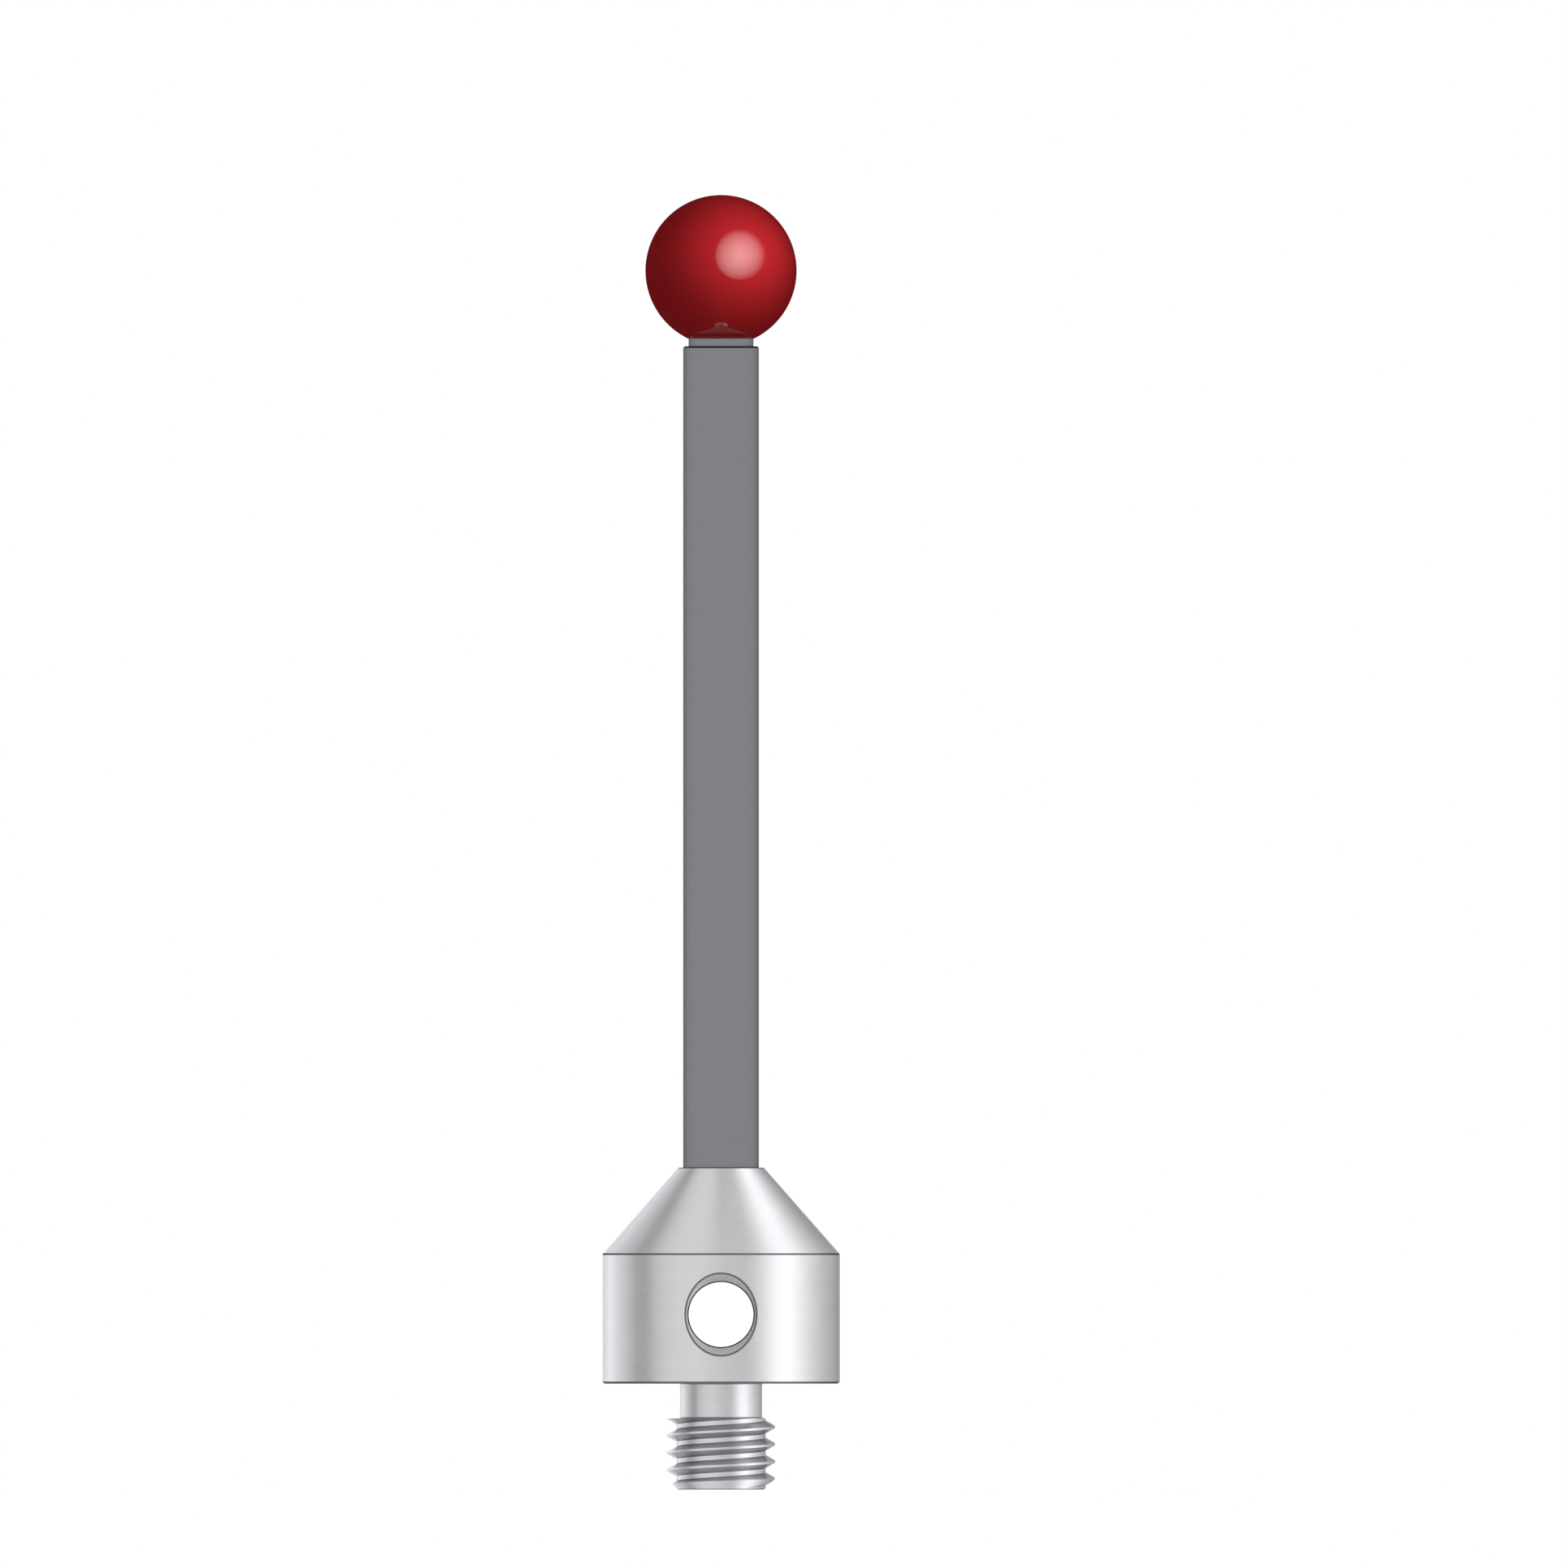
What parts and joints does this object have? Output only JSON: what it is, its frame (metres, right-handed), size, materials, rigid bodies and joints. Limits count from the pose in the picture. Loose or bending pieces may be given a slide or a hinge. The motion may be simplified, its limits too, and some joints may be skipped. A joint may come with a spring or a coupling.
{
  "type": "cmm stylus",
  "caption": "Straight ball stylus for a coordinate measuring machine: ruby ball on a carbide stem bonded in a conical steel holder with an M5 stud and a spanner hole.",
  "frame": {"origin": "centre of the seating face of the holder, on the axis of the stylus", "axes": "+Z along the stylus from the holder to the ball; the spanner hole runs along Y"},
  "size_m": [0.011, 0.011, 0.0599],
  "materials": {
    "ruby": "polished synthetic ruby",
    "tungsten_carbide": "fine ground",
    "stainless_steel": "fine turned"
  },
  "bodies": {
    "root": {"ruby_ball": "ruby", "carbide_stem": "tungsten_carbide", "holder": "stainless_steel"}
  },
  "joints": []
}
